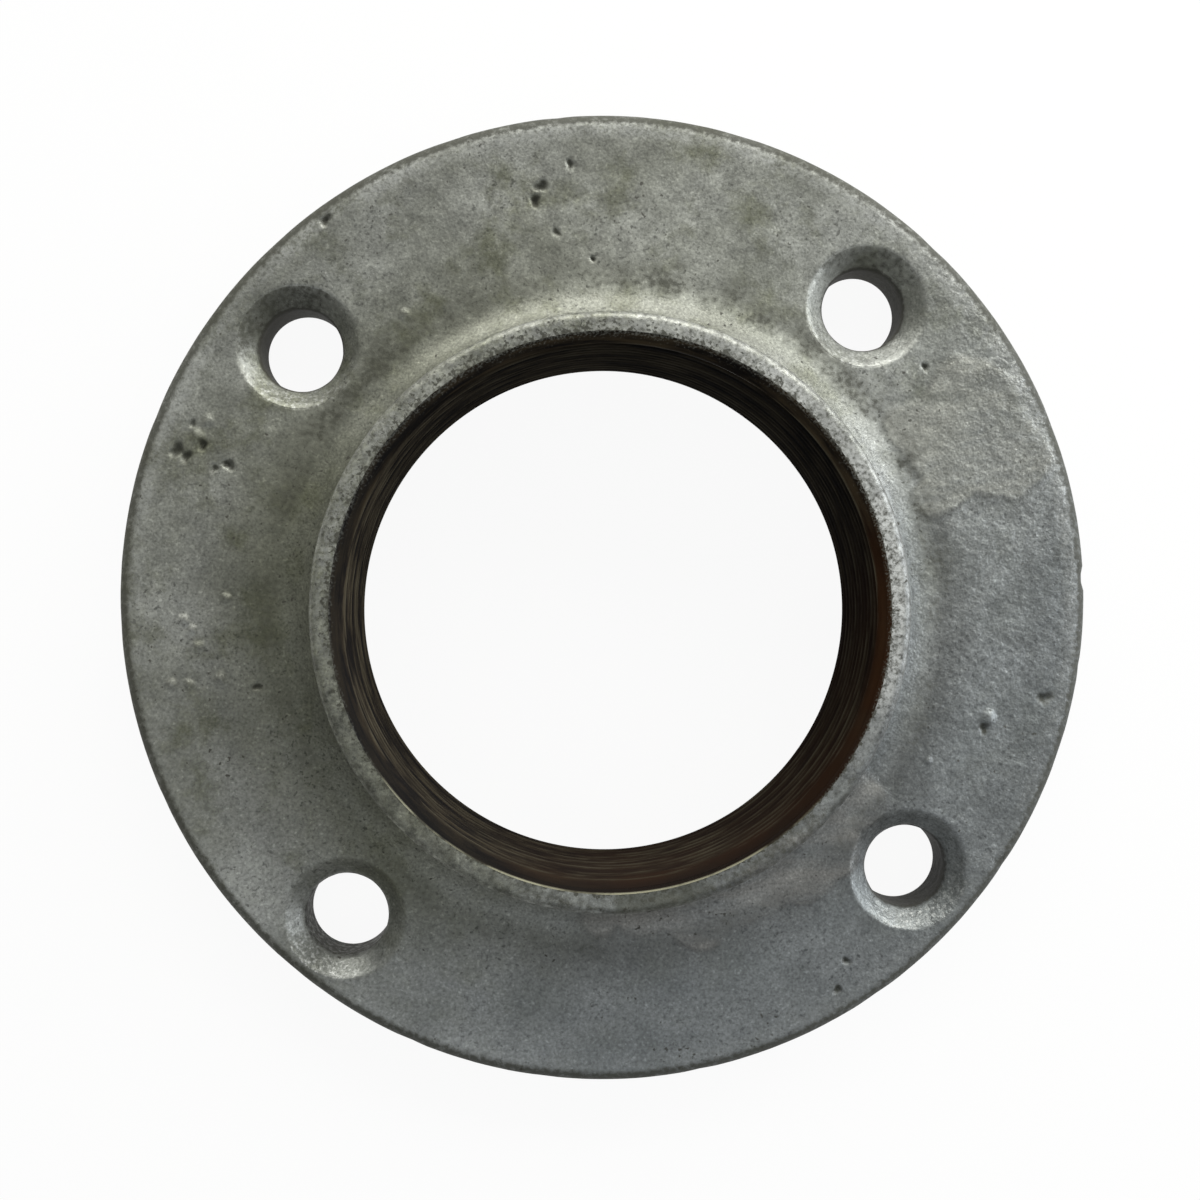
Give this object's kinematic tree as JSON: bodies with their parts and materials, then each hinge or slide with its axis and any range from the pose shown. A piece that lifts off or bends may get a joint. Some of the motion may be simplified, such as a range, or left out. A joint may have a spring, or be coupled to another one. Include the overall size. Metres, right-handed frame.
{
  "type": "pipe flange",
  "caption": "Round galvanised floor flange with a threaded collar for 3 inch pipe and countersunk screw holes round its plate.",
  "frame": {"origin": "on the pipe's axis, in the plane of the flat back face", "axes": "+Z along the pipe's axis, out of the hub, and the screw holes' circle is centred on it; +Y towards the side where the plate is widest"},
  "size_m": [0.167, 0.167, 0.031],
  "materials": {
    "galvanised_iron": "hot-dip galvanised casting, matt and slightly pitted"
  },
  "bodies": {
    "root": {"pipe_flange": "galvanised_iron"}
  },
  "joints": []
}
